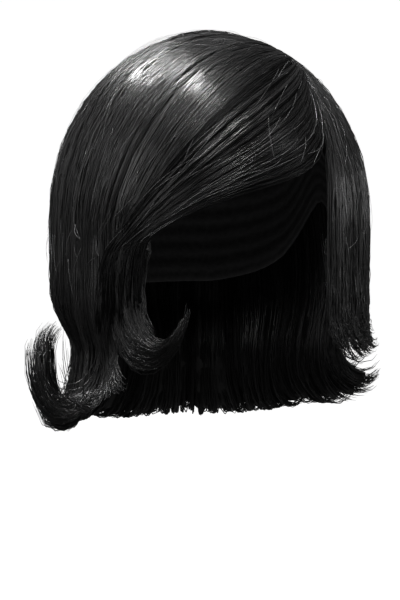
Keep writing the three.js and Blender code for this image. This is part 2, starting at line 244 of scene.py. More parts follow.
def hanging_surface(bearing, stage, layer="", habit=PLAIN_HABIT):
    """Places on the outside of the hanging hair, or with the layer "nape_" of the hair below it."""
    guide = row_at(HANGING, "bearing", bearing)
    outward = level(bearing)
    path = [
        root_direction(guide["station"], guide["side"]),
        root_direction(guide["lead_station"], guide["lead_side"]),
        direction(guide["crest_bearing"], guide["crest"]),
        outward,
    ]
    crown = on_dome(path, np.clip(stage, 0, 1), risen(stage, habit["lifted"]))
    shorter = guide["nest"] * habit["hem"]
    out = np.clip(habit["out"] - NEST_OUT * shorter, NARROWEST_CURL, WIDEST_CURL)
    up = guide["up"] * out
    place = outward * DOME + DOME_CENTRE
    drop = (place[..., 2] - guide[layer + "hem"] - shorter - up) * np.clip(stage - 1, 0, 1)
    panel_drop = place[..., 2] - guide["hem"] - guide["up"]
    waist = guide[layer + "waist"] * smoothstep(drop / panel_drop, WAIST_STARTS, WAIST_ENDS)
    turned = np.radians(guide[layer + "turn"] * habit["turn"]) * np.clip(stage - 2, 0, None)
    round_top = np.maximum(turned - np.pi, 0)
    turned = np.minimum(turned, np.pi)
    swing = guide[layer + "out"] * out * (1 - np.cos(turned)) - CURL_TOP * (1 - np.cos(round_top))
    towards = level(guide[layer + "points"] + habit["points"])
    place = place - outward * waist[..., None] + towards * swing[..., None]
    place[..., 2] += CURL_TOP * np.sin(round_top) - drop - up * np.sin(turned)
    return np.where((stage < 1)[..., None], crown, place)


def fringe_surface(station, stage, habit=PLAIN_HABIT):
    """Places on the outside of the fringe."""
    guide = row_at(FRINGE, "station", station)
    lift = risen(stage, habit["lifted"])
    path = [
        root_direction(guide["root"], FRINGE_SIDE),
        root_direction(guide["lead_root"], guide["lead_side"]),
        direction(guide["drop_bearing"], guide["drop_polar"]),
        direction(guide["sweep_bearing"], guide["sweep_polar"]),
        direction(guide["end_bearing"], guide["end_polar"]),
    ]
    across = on_dome(path, np.clip(stage, 0, 1), lift)
    # Its ends turn down and lie over the front of the side panel.
    tail = direction(guide["tail_bearing"], guide["tail_polar"])
    ends = [path[-1], path[-1] + TAIL_LEAD * (path[-1] - path[-2]), tail]
    down = on_dome(ends, np.clip(stage - 1, 0, None), lift)
    return np.where((stage < 1)[..., None], across, down)


def below(layer, bearing, stage, depth, habit):
    """Places below the surface of the hanging hair, and its outward normals there."""

    def surface(b, s):
        return hanging_surface(b, s, layer, habit)

    place = surface(bearing, stage)
    sideways = surface(bearing + BEARING_STEP, stage) - surface(bearing - BEARING_STEP, stage)
    along = surface(bearing, stage + STAGE_STEP) - surface(bearing, stage - STAGE_STEP)
    dome_normal = (place - DOME_CENTRE) / DOME**2
    normal = unit(np.where((stage > 1)[..., None], np.cross(sideways, along), dome_normal))
    return place - normal * depth[..., None], normal


def hanging_thickness(stage):
    on_the_dome = blend(ROOT_THICKNESS, DOME_THICKNESS, risen(stage))
    hung = blend(on_the_dome, CURL_THICKNESS, smoothstep(stage, 1, 2))
    return blend(hung, TIP_THICKNESS, smoothstep(stage, 2, 3))


def nape_thickness(stage):
    return blend(NAPE_THICKNESS, TIP_THICKNESS, smoothstep(stage, 2, NAPE_END))


def fringe_thickness(stage):
    grown = blend(ROOT_THICKNESS, FRINGE_THICKNESS, risen(stage))
    return blend(grown, TIP_THICKNESS, smoothstep(stage, FRINGE_END, 1))


def lay_hanging(bearing, stage, depth, habit=PLAIN_HABIT):
    return below("", bearing, stage, depth, habit)


def lay_nape(bearing, stage, depth, habit=PLAIN_HABIT):
    """The nape's hair leaves the edge of the cap and settles below the panels."""
    on_surface, normal = below("nape_", bearing, stage, 0 * stage, habit)
    to_cap = steps_to_cap(on_surface, -normal, CAP_WALL + SEAT_GAP + NAPE_THICKNESS)
    settled = smoothstep(stage, NAPE_ROOT, NAPE_SETTLED)
    cover = blend(to_cap, hanging_thickness(stage) + NAPE_GAP, settled)
    return on_surface - normal * (cover + depth)[..., None], normal


def lay_fringe(station, stage, depth, habit=PLAIN_HABIT):
    place = fringe_surface(station, stage, habit)
    normal = unit((place - DOME_CENTRE) / DOME**2)
    over = FRINGE_COVER * smoothstep(stage, *FRINGE_COVERS)
    return place - normal * (depth - over)[..., None], normal


# Panels

PLAIN_PANEL = dict(
    lay=lay_hanging,
    thickness=hanging_thickness,
    split=HANGING_SPLIT,
    bold=True,  # whether its grooves show in full
    mingles=(0.0, 0.0),  # how far its strands reach past its two edges
    parted=0.0,  # how far its locks narrow towards their tips
    nest=0.0,  # how far shorter hair nests inside its curl
    longer=1.0,  # how much further its strands turn
    gloss_and_painted_highlight=None,  # bearings between which its curl gets more gloss and a painted highlight
    painted_shade_edge=None,  # stations between which its tone rises from a dim edge
)
# Each panel has a seed for what its strands have in common, and one for each set of strands.
PANELS = {
    "right_hair": dict(
        PLAIN_PANEL, start=47.0, end=138.0, mingles=(2.0, 1.5), locks=8, parted=0.12, nest=4.2,
        gloss_and_painted_highlight=(74.0, 120.0), gathers=(0.38, 0.76), strands=1150, ends=1400,
        seed=11, strand_seed=21, end_seed=31,
    ),
    "back_hair": dict(
        PLAIN_PANEL, start=138.4, end=222.0, mingles=(1.5, 1.5), locks=8, parted=0.05, nest=5.0,
        gathers=(0.3, 0.65), strands=820, ends=560, seed=12, strand_seed=22, end_seed=32,
    ),
    "left_hair": dict(
        PLAIN_PANEL, start=222.4, end=333.0, mingles=(1.5, 0), locks=9, parted=0.15, nest=8.0,
        gathers=(0.3, 0.65), strands=940, ends=800, seed=13, strand_seed=23, end_seed=33,
    ),
}
FRONT_LOCK = dict(
    PLAIN_PANEL, start=45.5, end=60.0, locks=1, parted=0.9, nest=4.0, longer=1.27,
    ends=460, seed=16, end_seed=33,
)
NAPE = dict(
    PLAIN_PANEL, lay=lay_nape, thickness=nape_thickness, start=82.0, end=290.0, locks=11, nest=3.0,
    strands=1350, seed=14, strand_seed=34,
)
FRINGE_PANEL = dict(
    PLAIN_PANEL, lay=lay_fringe, thickness=fringe_thickness, split=FRINGE_SPLIT, bold=False,
    start=0.0, end=0.29, locks=6, parted=0.3, painted_shade_edge=(0.02, 0.16), strands=1250, seed=15, strand_seed=35,
)
FRINGE_SHEET_START = 0.012
LOOSE_SEED = 100  # added to a panel's seed for its loose hairs
NEST_RIPPLE = 1.5
NEST_STEP = 0.3  # of a lock's width


def lock_edges(panel):
    i = np.arange(panel["locks"] + 1)
    inside = np.where((i > 0) & (i < panel["locks"]), WIDTH_UNEVENNESS * np.sin(WIDTH_RHYTHM * i), 0)
    return blend(panel["start"], panel["end"], (i + inside) / panel["locks"])


def find_lock(panel, spot):
    """The lock that each spot lies in, the lock's first edge, its width, and the spot's share of it."""
    edges = lock_edges(panel)
    lock = np.clip(np.searchsorted(edges, spot) - 1, 0, panel["locks"] - 1)
    edge = edges[lock]
    wide = edges[lock + 1] - edge
    return lock, edge, wide, (spot - edge) / wide


def groove_at(panel, stage, thick, share):
    """How deep the surface of a lock lies at a share of its width."""
    shown = FRINGE_GROOVE
    if panel["bold"]:
        shown = blend(DOME_GROOVE, 1, smoothstep(stage, *GROOVE_DEEPENS))
    return GROOVE * np.minimum(1, thick / DOME_THICKNESS) * shown * (2 * share - 1) ** 2


def ripple(rng, along, step):
    """A smooth random curve between -1 and 1 that changes over the given step."""
    first = along.min()
    knots = rng.uniform(-1, 1, int((along.max() - first) / step) + 3)
    at = (along - first) / step
    i = at.astype(int)
    t = smoothstep(at - i, 0, 1)
    return blend(knots[i], knots[i + 1], t)


def nested_at(shared, panel, spot):
    """How far up the ends lie across a panel, to be squared: the first draw from the panel's seed."""
    edges = lock_edges(panel)
    first = panel["start"] - panel["mingles"][0]
    return NEST_RIPPLE * ripple(shared, np.append(spot, first), NEST_STEP * (edges[1] - edges[0]))[:-1]


# Strands

WISPS = 8  # wisps in a lock
# How far locks, wisps and single strands stray: in the curl's width and turn, in its bearing and in tone.
STRAYS = dict(
    out=(0.04, 0.04, 0.02),
    turn=(0.1, 0.1, 0.06),
    points=(4.0, 5.0, 2.0),
    tone=(0.1, 0.32, 0.14),
)
POINT_STRAY = 0.4  # share of the step between two points
TUCK_STRAY = 0.3  # in stages
NEST_STRAY = 0.4
LONGEST = 2.0  # how far the longest strands hang below their guides
TURN = 0.96
TURN_LIMITS = (0.62, 1.12)
FRONT_STRAY = 0.2  # share of the straying that the front lock has
FRONT_BEARINGS = (57.0, 68.0)  # between which the rest of it comes in
LOCK_CUT = 0.08  # share of its length by which a lock is cut shorter than its neighbours
CUT_RHYTHM = 1.9
WISP_STRAY = 0.3  # share of a wisp's width
GATHER_LEAD = 0.6  # stages before the split at which wisps start to gather
LAYER_GATHER = 0.5
NARROW_POWER = 1.5  # by which a lock narrows late
SWELL = 0.12  # sideways sway of a wisp and of a strand, in shares of a lock's width
STRAND_SWELL = 0.02
SWELL_STEP = 0.6
SWAY_TURNS = 0.55
SWAY_RIPPLE = 0.4
SWAY_STEP = 1.5
SWAY_LEADS = (1.0, 0.2)  # stages before the split between which the sway comes in
FINE_STREAKS = 70  # streaks in the width of a panel
STREAKS = ((0.7, 1.0), (0.9, 2.3))  # their depth and their width in fine streaks
STREAK_THICKNESS = 4.0  # hair that is thinner has shallower streaks
TUCK_ENDS = 1.9
WAVE = (0.05, 0.2)  # rise and fall of a strand
WAVE_TURNS = (2.5, 5.5)
WISP_WAVE = 0.8
WISP_WAVE_TURNS = 3
WISP_WAVE_STEPS = (4, 0.6)  # for where it starts and how high it is, in fine streaks
WAVE_STAGES = (0.1, 0.3)  # between which the waves grow
DIVE = 2.5  # how far the long strands go below the curled ends where they stop
DIVE_LEAD = 0.35
LOOSENESS = (0.06, 0.2, 0.35)  # of all strands, more past the split and more towards the tips
LOOSE_LEAD = 0.8
LOOSE_TURNS = (0.3, 1.0)
LOOSE_SHARE = (0.2, 1.0)
CURL_PAINTED_SHADE_AND_HIGHLIGHT = (-0.75, 1.0)  # how much duller and darker a curl is, as painted shade, and how much glossier and lighter where it has a painted highlight
CURL_STAGES = (1.9, 2.3)
PAINTED_HIGHLIGHT_FADE = 8.0
PAINTED_ROOT_SHADE_END = 0.16  # stage by which the tone has come in: the roots are duller and painted darker, as painted shade along the parting
# share of the tone left at that edge, as painted shade
PAINTED_EDGE_SHADE = 0.2
STRAND_WIDTH = 0.62
NAPE_WIDTH = 0.95
FLYAWAY_WIDTH = 0.24
ROOT_WIDTH = 0.6  # shares of a strand's width at its root and at its tip
TIP_WIDTH = 0.3
ROOT_TAPER = 0.2  # shares of its length at which it is widest
TIP_TAPER = 0.85
FLATNESS = 0.75


class Combing:
    """A panel's strands while they are combed, with a row for each strand and a column for each point."""

    def __init__(self, panel, count, seed, stages, tip):
        self.panel = panel
        self.count = count
        self.stages = stages
        self.split = panel["split"]
        self.tip = tip
        self.fine = (panel["end"] - panel["start"]) / FINE_STREAKS
        self.rng = np.random.default_rng(seed)
        self.shared = np.random.default_rng(panel["seed"])  # for what a lock or a wisp has in common
        before, after = panel["mingles"]
        spread = (np.arange(count) + self.rng.random(count)) / count
        self.spot = blend(panel["start"] - before, panel["end"] + after, spread)
        self.lock, edge, wide, share = find_lock(panel, self.spot)
        self.edge = edge[:, None]
        self.wide = wide[:, None]
        self.share = share[:, None]
        self.wisp = np.minimum((share * WISPS).astype(int), WISPS - 1)
        self.group = self.lock * WISPS + self.wisp
        self.groups = panel["locks"] * WISPS

    def uniform(self, low=0.0, high=1.0):
        return self.rng.uniform(low, high, (self.count, 1))

    def normal(self):
        return self.rng.normal(size=(self.count, 1))

    def ripple(self, step):
        return ripple(self.shared, self.spot, step)[:, None]

    def stray(self, name):
        by_lock, by_wisp, by_strand = STRAYS[name]
        swing = by_lock * self.shared.normal(size=self.panel["locks"])[self.lock]
        swing = swing + by_wisp * self.shared.normal(size=self.groups)[self.group]
        return swing[:, None] + by_strand * self.normal()

    def set_points(self, tucked):
        """The stages of the points, which stray a little; those of tucked roots stray more."""
        even = np.tile(self.stages, (self.count, 1))
        even[:, 1:-1] += self.uniform(-POINT_STRAY, POINT_STRAY) * np.gradient(self.stages)[1:-1]
        if tucked:
            root = even[:, :1] + self.uniform(-TUCK_STRAY, TUCK_STRAY)
            even = blend(root, even, smoothstep(self.stages, self.stages[0], 2))
        self.even = even

    def habit(self, layer):
        """What sets each strand apart from its guide: its hem, its curl and the height of its root."""
        nested = nested_at(self.shared, self.panel, self.spot)[:, None] + NEST_STRAY * self.normal()
        steady = blend(FRONT_STRAY, 1.0, smoothstep(self.spot, *FRONT_BEARINGS))[:, None]
        return dict(
            hem=self.panel["nest"] * nested**2 - LONGEST,
            out=1 + self.stray("out"),
            turn=np.clip(TURN + self.stray("turn"), *TURN_LIMITS) * self.panel["longer"],
            points=self.stray("points") * steady,
            lifted=ROOT_LIFT - LAYER_DROP * layer,
        )

    def cut(self, short):
        """The points' stages once the strands are cut to uneven lengths."""
        most, power = short
        reach = 1 - LOCK_CUT * np.sin(CUT_RHYTHM * self.lock) ** 2
        reach = (reach * (1.0 - most * self.rng.random(self.count) ** power))[:, None]
        return np.minimum(self.even, self.split) + np.maximum(self.even - self.split, 0) * reach

    def gather(self, pulls):
        """Strands of a wisp draw together towards its tip."""
        centre = self.wisp + 0.5 + WISP_STRAY * self.shared.normal(size=self.groups)[self.group]
        pull = self.shared.uniform(*pulls, self.groups)[self.group][:, None]
        self.gathered = pull * smoothstep(self.even, self.split - GATHER_LEAD, self.tip)
        self.share = blend(self.share, (centre / WISPS)[:, None], self.gathered)

    def across(self):
        """Where the points lie across the panel: locks narrow towards their tips, and wisps sway."""
        ended = np.maximum(self.even - self.split, 0) / (self.tip - self.split)
        narrow = 1 - self.panel["parted"] * ended**NARROW_POWER
        swell = SWELL * self.ripple(SWELL_STEP * self.wide.mean()) + STRAND_SWELL * self.normal()
        turns = self.even * SWAY_TURNS + SWAY_RIPPLE * self.ripple(SWAY_STEP * self.wide.mean())
        sway = swell * np.sin(2 * np.pi * turns)
        first, last = SWAY_LEADS
        sway = sway * smoothstep(self.even, self.split - first, self.split - last)
        return self.edge + self.wide * (0.5 + (self.share - 0.5) * narrow + sway)

    def depth(self, layer, deep, tucked):
        """How deep the points lie in the hair."""
        common = (self.shared.random(self.groups) ** deep)[self.group][:, None]
        layer = blend(layer, common, LAYER_GATHER * self.gathered)
        thick = self.panel["thickness"](self.even)
        groove = groove_at(self.panel, self.even, thick, self.share)
        streaks = sum(high * self.ripple(wide * self.fine) for high, wide in STREAKS)
        depth = groove + (thick - groove) * layer + streaks * np.minimum(1, thick / STREAK_THICKNESS)
        depth = depth + tucked * (1 - smoothstep(self.stages, self.stages[0], TUCK_ENDS))
        depth = depth + self.waves() * smoothstep(self.even, *WAVE_STAGES)
        last = self.stages[-1]
        if self.tip > last:
            depth = depth + DIVE * smoothstep(self.even, last - DIVE_LEAD, last)
        return depth

    def waves(self):
        turns = self.uniform(*WAVE_TURNS) * self.even + self.uniform()
        rise = self.uniform(*WAVE) * np.sin(2 * np.pi * turns)
        start_step, height_step = WISP_WAVE_STEPS
        turns = WISP_WAVE_TURNS * self.even + self.ripple(start_step * self.fine)
        return rise + WISP_WAVE * self.ripple(height_step * self.fine) * np.sin(2 * np.pi * turns)

    def loosen(self, centres, normals):
        """The strands' centre lines with a loose wave of their own, sideways and up."""
        tangents = unit(np.gradient(centres, axis=1))
        sides = unit(np.cross(tangents, normals))
        everywhere, past_split, at_tip = LOOSENESS
        loose = everywhere + past_split * smoothstep(self.even, self.split - LOOSE_LEAD, self.split)
        loose = loose + at_tip * smoothstep(self.even, self.split, self.tip)
        for way in (sides, normals):
            turns = self.uniform(*LOOSE_TURNS) * self.even + self.uniform()
            size = loose * self.uniform(*LOOSE_SHARE)
            centres = centres + way * (size * np.sin(2 * np.pi * turns))[..., None]
        return centres

    def tone(self, across, gloss):
        """How glossy and how light the points are: at random wisp by wisp, with painted shade on dull curls,
        at the roots and at the fringe's lower edge, and a painted highlight on the curls between given
        bearings.
        """
        painted_highlight_share = 0.0
        if self.panel["gloss_and_painted_highlight"]:
            first, last = self.panel["gloss_and_painted_highlight"]
            painted_highlight_share = smoothstep(across, first, first + PAINTED_HIGHLIGHT_FADE)
            painted_highlight_share = painted_highlight_share * (1 - smoothstep(across, last - PAINTED_HIGHLIGHT_FADE, last))
        # Curls are painted darker as shade, and glossier and lighter as a painted highlight between their
        # bearings.
        curl_painted_light = blend(*CURL_PAINTED_SHADE_AND_HIGHLIGHT, painted_highlight_share) * smoothstep(self.even, *CURL_STAGES)
        # Towards the roots the tone fades: painted shade along the parting.
        tone = np.clip(gloss + self.stray("tone"), 0, 1) * smoothstep(self.even, 0, PAINTED_ROOT_SHADE_END)
        tone = tone * (1 + curl_painted_light)
        # The fringe's lower edge is duller and painted darker, as painted shade.
        if self.panel["painted_shade_edge"]:
            tone = tone * blend(PAINTED_EDGE_SHADE, 1.0, smoothstep(self.spot, *self.panel["painted_shade_edge"]))[:, None]
        return np.minimum(tone, 1)


def comb(
    panel, count, seed, stages, tip,
    deep=1.6, pulls=(0.3, 0.65), tucked=0.0, short=(0.4, 1.2), gloss=0.5,
):
    """Centre lines, normals and tones of a panel's strands.

    tip is the stage of the hair's full length; deep is the power that keeps strands near the top; pulls are
    how far wisps gather; tucked is how deep roots hide; short is the share and power of the cut; gloss is
    the middle tone.
    """
    hair = Combing(panel, count, seed, stages, tip)
    hair.set_points(tucked)
    layer = hair.uniform() ** deep
    habit = hair.habit(layer)
    stage = hair.cut(short)
    hair.gather(pulls)
    across = hair.across()
    depth = hair.depth(layer, deep, tucked)
    centres, normals = panel["lay"](across, stage, depth, habit)
    return hair.loosen(centres, normals), normals, hair.tone(across, gloss)


# Loose hairs: how many cross the others, their lengths in stages, where they lie in a panel's width, and how
# far they drift, bow and rise.
CROSSING_SHARE = 0.35
CROSSING_LENGTH = (0.08, 0.22)
CROSSING_DRIFT = (1.5, 3.0)
FLYAWAY_POINTS = 9
FLYAWAY_LENGTH = (0.1, 0.35)
FLYAWAY_MARGIN = 0.3  # stages by which the last of them start before the end
FLYAWAY_SPOTS = (0.03, 0.97)
FLYAWAY_BOW = 0.3
FLYAWAY_RISE = (0.8, 3.0)
FLYAWAY_ARC = (0.6, 1.0)  # share of half a turn
FLYAWAY_DEPTH = 0.6


def flyaways(panel, count, first, last, drift):
    """Thin loose hairs that leave the surface of a panel and cross its strands."""
    rng = np.random.default_rng(panel["seed"] + LOOSE_SEED)

    def uniform(low, high):
        return rng.uniform(low, high, (count, 1))

    t = np.linspace(0, 1, FLYAWAY_POINTS)
    wide = panel["end"] - panel["start"]
    start = uniform(first, last - FLYAWAY_MARGIN)
    crossing = uniform(0, 1) < CROSSING_SHARE
    long = np.where(crossing, uniform(*CROSSING_LENGTH), uniform(*FLYAWAY_LENGTH))
    stage = start + t * np.minimum(long, last - start)
    spot = panel["start"] + wide * uniform(*FLYAWAY_SPOTS)
    bow = rng.normal(size=(count, 1)) * np.sin(np.pi * t)
    side = np.where(crossing, rng.choice([-1, 1], (count, 1)) * uniform(*CROSSING_DRIFT), 1)
    across = spot + wide * drift * (side * rng.normal(size=(count, 1)) * t + FLYAWAY_BOW * bow)
    across = np.clip(across, panel["start"], panel["end"])
    height = uniform(*FLYAWAY_RISE) * np.sin(np.pi * t * uniform(*FLYAWAY_ARC))
    centres, normals = panel["lay"](across, stage, FLYAWAY_DEPTH - height)
    return centres, normals, np.ones((count, len(t)))


def strand_rings(centres, normals, width):
    """Three corners round each point of the strands, which taper at both ends."""
    along = np.linspace(0, 1, centres.shape[1])
    taper = blend(ROOT_WIDTH, 1, smoothstep(along, 0, ROOT_TAPER))
    taper = taper * blend(1, TIP_WIDTH, smoothstep(along, TIP_TAPER, 1))
    reach = (width * taper / 2)[:, None]
    tangents = unit(np.gradient(centres, axis=1))
    sides = unit(np.cross(tangents, normals))
    ridges = np.cross(sides, tangents) * FLATNESS
    angles = np.radians([0.0, 120.0, 240.0])
    return np.stack([centres + (ridges * math.cos(a) + sides * math.sin(a)) * reach for a in angles], 2)


def strand_cells(count, points):
    """Map places of the strands: each has a cell of its own, with its sides and past them its two ends."""
    cells = math.ceil(math.sqrt(count))
    corner = np.stack([np.arange(count) % cells, np.arange(count) // cells], -1)
    u = 0.12 + 0.25 * np.arange(4)
    v = np.linspace(0.08, 0.82, points)
    side_u = np.broadcast_to(np.stack([u[:3], u[1:], u[1:], u[:3]], -1), (points - 1, 3, 4))
    side_v = np.broadcast_to(np.stack([v[:-1], v[:-1], v[1:], v[1:]], -1)[:, None], (points - 1, 3, 4))
    sides = corner[:, None, None, None] + np.stack([side_u, side_v], -1)
    roots = corner[:, None] + np.array([[0.1, 0.87], [0.3, 0.87], [0.2, 0.95]])
    tips = roots + np.array([0.4, 0.0])
    return np.concatenate([sides.reshape(-1, 2), roots.reshape(-1, 2), tips.reshape(-1, 2)]) / cells


def strand_mesh(name, strands, width):
    """Closed three-sided tubes along the strands, joined to one piece."""
    centres, normals, tone = strands
    count, points = centres.shape[:2]
    index = np.arange(count * points * 3).reshape(count, points, 3)
    following = np.roll(index, -1, axis=2)
    sides = np.stack([index[:, :-1], following[:, :-1], following[:, 1:], index[:, 1:]], -1).reshape(-1, 4)
    ends = np.concatenate([index[:, 0, ::-1], index[:, -1]])
    loops = np.concatenate([sides.ravel(), ends.ravel()])
    starts = np.concatenate([np.arange(len(sides)) * 4, sides.size + np.arange(len(ends)) * 3])

    mesh = bpy.data.meshes.new(name)
    mesh.vertices.add(index.size)
    mesh.vertices.foreach_set("co", (strand_rings(centres, normals, width) * MM).ravel())
    mesh.loops.add(len(loops))
    mesh.loops.foreach_set("vertex_index", loops.astype(np.int32))
    mesh.polygons.add(len(starts))
    mesh.polygons.foreach_set("loop_start", starts.astype(np.int32))
    mesh.polygons.foreach_set("use_smooth", np.ones(len(starts), bool))
    mesh.update(calc_edges=True)
    mesh.validate()
    tones = mesh.attributes.new("tone", "FLOAT", "POINT")
    tones.data.foreach_set("value", np.repeat(tone.ravel(), 3).astype(np.float32))
    cells = strand_cells(count, points)
    mesh.uv_layers.new(name="OFBake").data.foreach_set("uv", cells.ravel().astype(np.float32))
    return mesh


def dress(piece, node, finish):
    piece.data.materials.clear()
    piece.data.materials.append(finish)
    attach(piece, "root")
    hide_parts(node)


def lay_strands(name, node, strands, width, finish):
    piece = bpy.data.objects.new(name, strand_mesh(name, strands, width))
    bpy.context.scene.collection.objects.link(piece)
    dress(piece, node, finish)


# Pieces shaped from primitives

SHEET_SHORTER = 1.5  # how far the sheets below the strands end above them
SHEET_WALL = 0.9
SHEET_GROOVE = 0.7  # share of the grooves that the sheets follow
SHEET_DEPTH = 0.42  # share of the hair's thickness at which they lie
SHEET_TURN = ([120, 180], [0.85, 1])  # by bearing: the tightest curls have less sheet inside
CAP_SIDES = 72
BALL_ROWS = 30
CAP_ROWS = 21  # rows of the ball that are kept for the cap


def start_clean():
    if bpy.context.object and bpy.context.object.mode != "OBJECT":
        bpy.ops.object.mode_set(mode="OBJECT")
    bpy.ops.object.select_all(action="DESELECT")


def clear_selection(kind):
    bpy.ops.object.mode_set(mode="EDIT")
    bpy.ops.mesh.select_all(action="DESELECT")
    bpy.ops.mesh.select_mode(type=kind)
    bpy.ops.object.mode_set(mode="OBJECT")


def vertex_places(mesh):
    places = np.empty(len(mesh.vertices) * 3)
    mesh.vertices.foreach_get("co", places)
    return places.reshape(-1, 3)


def move_vertices(mesh, places):
    mesh.vertices.foreach_set("co", (places * MM).ravel())
    mesh.update()


def thicken(piece, thickness, offset):
    wall = piece.modifiers.new("wall", "SOLIDIFY")
    wall.thickness = thickness * MM
    wall.offset = offset
    bpy.ops.object.modifier_apply(modifier="wall")
    bpy.ops.object.shade_smooth()


def under_sheet(name, panel, stages, columns):
    """The sheet of combed hair that lies below a panel's strands."""
    start_clean()
    bpy.ops.mesh.primitive_grid_add(x_subdivisions=columns, y_subdivisions=len(stages) - 1, size=2)
    sheet = bpy.context.object
    sheet.name = name
    grid = vertex_places(sheet.data)
    across = blend(panel["start"], panel["end"], (grid[:, 0] + 1) / 2)
    stage = np.interp((grid[:, 1] + 1) / 2, np.linspace(0, 1, len(stages)), stages)
    share = find_lock(panel, across)[-1]
    thick = panel["thickness"](stage)
    depth = groove_at(panel, stage, thick, share) * SHEET_GROOVE + thick * SHEET_DEPTH
    nested = nested_at(np.random.default_rng(panel["seed"]), panel, across)
    habit = dict(
        PLAIN_HABIT,
        hem=panel["nest"] * nested**2 + SHEET_SHORTER,
        turn=np.interp(across, *SHEET_TURN),
    )
    places, _ = panel["lay"](across, stage, depth, habit)
    move_vertices(sheet.data, places)
    thicken(sheet, SHEET_WALL, -1)
    return sheet


def net_cap():
    """The cap: the upper rows of a ball, drawn to the cap's hollow and its edge, with a thin wall."""
    start_clean()
    bpy.ops.mesh.primitive_uv_sphere_add(segments=CAP_SIDES, ring_count=BALL_ROWS, radius=1)
    cap = bpy.context.object
    cap.name = "wig_cap_net"
    clear_selection("VERT")
    lowest = math.cos(math.pi * (CAP_ROWS + 0.5) / BALL_ROWS)
    for vertex in cap.data.vertices:
        vertex.select = vertex.co.z < lowest
    bpy.ops.object.mode_set(mode="EDIT")
    bpy.ops.mesh.delete(type="VERT")
    bpy.ops.object.mode_set(mode="OBJECT")
    ball = vertex_places(cap.data)
    bearing = np.degrees(np.arctan2(-ball[:, 0], -ball[:, 1]))
    edge = row_at(CAP_EDGE, "bearing", np.abs(bearing))["polar"]
    row = np.arccos(np.clip(ball[:, 2], -1, 1)) * BALL_ROWS / (math.pi * CAP_ROWS)
    move_vertices(cap.data, direction(bearing, edge * row) * CAP_HOLLOW + CAP_CENTRE)
    thicken(cap, CAP_WALL, 1)
    return cap


# Finishes


class Tap:
    """A socket of a finish that Python's operators turn into Math nodes."""

    def __init__(self, finish, socket):
        self.finish = finish
        self.socket = socket

    def math(self, operation, a, b):
        return self.finish.node("ShaderNodeMath", "Value", {"operation": operation}, {0: a, 1: b})

    def __add__(self, other):
        return self.math("ADD", self, other)

    __radd__ = __add__

    def __sub__(self, other):
        return self.math("SUBTRACT", self, other)

    def __rsub__(self, other):
        return self.math("SUBTRACT", other, self)

    def __mul__(self, other):
        return self.math("MULTIPLY", self, other)

    __rmul__ = __mul__


class Finish:
    """A material whose nodes are added one by one and end in a Principled shader."""

    def __init__(self, name):
        self.material = bpy.data.materials.new(name)
        self.material.use_nodes = True
        self.tree = self.material.node_tree
        self.tree.nodes.clear()

    def node(self, kind, output, settings=None, sockets=None):
        node = self.tree.nodes.new(kind)
        for setting, value in (settings or {}).items():
            setattr(node, setting, value)
        for socket, value in (sockets or {}).items():
            if isinstance(value, Tap):
                self.tree.links.new(value.socket, node.inputs[socket])
            else:
                node.inputs[socket].default_value = value
        return Tap(self, node.outputs[output]) if output else node

    def mix(self, share, dark, light):
        return self.node(
            "ShaderNodeMix",
            "Result",
            {"data_type": "RGBA"},
            {"Factor": share, "A": dark, "B": light},
        )

    def noise(self, place, scale, detail):
        sockets = {"Vector": place, "Scale": scale, "Detail": detail}
        return self.node("ShaderNodeTexNoise", "Fac", {}, sockets)

    def map_place(self, *scale):
        place = self.node("ShaderNodeUVMap", "UV", {"uv_map": "UVMap"})
        return self.node("ShaderNodeMapping", "Vector", {}, {"Vector": place, "Scale": scale})

    def bump(self, height, strength, distance):
        sockets = {"Height": height, "Strength": strength, "Distance": distance}
        return self.node("ShaderNodeBump", "Normal", {}, sockets)

    def end(self, sockets):
        surface = self.node("ShaderNodeBsdfPrincipled", "BSDF", {}, sockets)
        self.node("ShaderNodeOutputMaterial", None, {}, {"Surface": surface})
        return self.material


def hair_finish(name, shine):
    """Black fibre, glossy and a little lighter where its tone is high; the tone differs at random from wisp
    to wisp and also carries painted shade and a painted highlight.
    """
    finish = Finish(name)
    tone = finish.node("ShaderNodeAttribute", "Fac", {"attribute_name": "tone"})
    place = finish.node("ShaderNodeTexCoord", "Object")
    patches = finish.noise(place, 45.0, 2.0)
    share = tone * 0.75 + patches * 0.25
    return finish.end(
        {
            # The tone lightens the colour a little: this carries the painted shade and highlight in the
            # strands' tones.
            "Base Color": finish.mix(share, (0.0015, 0.0015, 0.0016, 1), (0.009, 0.0088, 0.009, 1)),
            "Roughness": 0.45 - tone * 0.2 + patches * 0.06,
            "Specular IOR Level": shine,
            "Coat Weight": tone,
            "Coat Roughness": 0.2,
        }
    )


def loose_finish():
    """Single hairs with painted glints: a noise paints them light grey here and there."""
    finish = Finish("loose_hair")
    place = finish.node("ShaderNodeTexCoord", "Object")
    painted_glints = finish.noise(place, 60.0, 1.0)
    return finish.end(
        {
            # Painted glints: light grey patches of colour.
            "Base Color": finish.mix(painted_glints, (0.004, 0.004, 0.004, 1), (0.12, 0.12, 0.122, 1)),
            "Roughness": 0.2 + painted_glints * 0.2,
        }
    )


def under_finish():
    """Combed hair, streaked along its length, and painted a little darker than the strands as shade below
    them.
    """
    finish = Finish("combed_hair")
    streaks = finish.noise(finish.map_place(260.0, 5.0, 1.0), 1.0, 3.0)
    return finish.end(
        {
            # A little darker than the strands' colour, as painted shade below them.
            "Base Color": finish.mix(streaks, (0.001, 0.001, 0.001, 1), (0.006, 0.006, 0.006, 1)),
            "Roughness": 0.38 + streaks * 0.15,
            "Normal": finish.bump(streaks, 0.8, 0.0006),
            "Specular IOR Level": 0.35,
        }
    )


